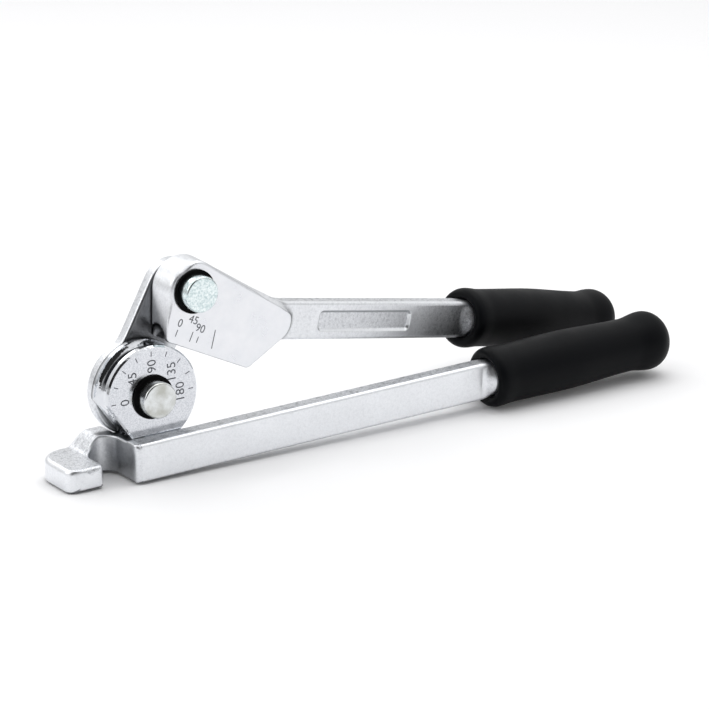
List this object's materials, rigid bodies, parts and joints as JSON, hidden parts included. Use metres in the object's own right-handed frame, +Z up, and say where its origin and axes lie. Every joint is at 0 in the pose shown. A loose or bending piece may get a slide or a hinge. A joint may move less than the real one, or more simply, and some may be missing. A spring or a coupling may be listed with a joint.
{
  "type": "tube bender",
  "caption": "Lever-type hand bender for small metal tube: grooved form on a forged hook handle, and a second handle whose grooved shoe swings round the form on a link.",
  "frame": {"origin": "middle of the underside of the box round the tool at rest, on the surface that it lies on", "axes": "+X along the lower handle from the hook to the grip, +Y to the back of the form, +Z up"},
  "size_m": [0.339, 0.081, 0.1012],
  "materials": {
    "forged_steel": "forged steel, zinc plated, satin and finely grained",
    "polished_steel": "machined and bright plated, nearly mirror in the groove",
    "turned_steel": "turned ends with fine concentric marks",
    "black_steel": "blackened spring steel",
    "grip_rubber": "matte black, with a soft sheen"
  },
  "bodies": {
    "lower": {"lower_handle": "forged_steel", "bending_form": "polished_steel", "form_screws": "forged_steel", "lower_grip": "grip_rubber"},
    "link": {"link_plate": "forged_steel", "form_pin": "turned_steel", "shoe_pin": "turned_steel", "form_pin_ring": "black_steel", "shoe_pin_ring": "black_steel"},
    "upper": {"upper_handle": "forged_steel", "upper_grip": "grip_rubber"}
  },
  "joints": [
    {"name": "bend_swing", "type": "hinge", "parent": "lower", "child": "link", "pos_m": [-0.12474, -0.01437, 0.04357], "axis": [0, 1, 0], "range_deg": [-117.7, 62.3]},
    {"name": "shoe_lift", "type": "hinge", "parent": "link", "child": "upper", "pos_m": [-0.10185, -0.01437, 0.08718], "axis": [0, -1, 0], "range_deg": [-12, 100]}
  ]
}
